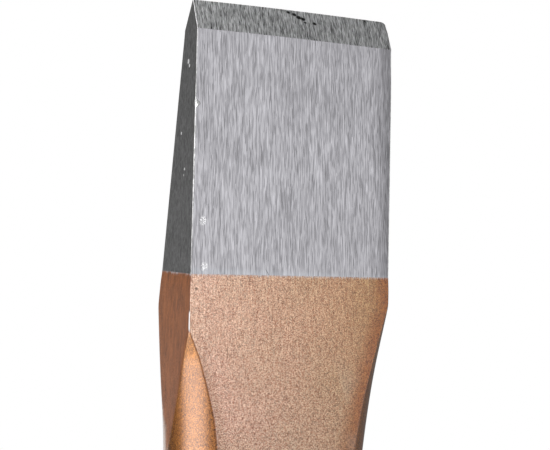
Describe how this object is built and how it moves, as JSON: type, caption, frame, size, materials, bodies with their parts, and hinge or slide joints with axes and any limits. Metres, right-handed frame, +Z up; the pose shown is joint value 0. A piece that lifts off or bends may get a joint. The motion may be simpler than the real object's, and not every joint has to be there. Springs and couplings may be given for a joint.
{
  "type": "cold chisel",
  "caption": "Flat cold chisel for cutting metal: a ground wedge blade on a lacquered flat-oval shank, struck on its tapered head.",
  "frame": {"origin": "centre of the striking face, at the bottom of the tool", "axes": "+Z up the tool from the striking face to the cutting edge, X along the cutting edge, -Y out of the front broad face"},
  "size_m": [0.0252, 0.0132, 0.25],
  "materials": {
    "ground_steel": "bright ground tool steel with fine grinding lines",
    "copper_lacquer": "copper-coloured metallic lacquer, satin, with a fine orange-peel grain"
  },
  "bodies": {
    "root": {"forged_body": "ground_steel", "lacquer_coat": "copper_lacquer"}
  },
  "joints": []
}
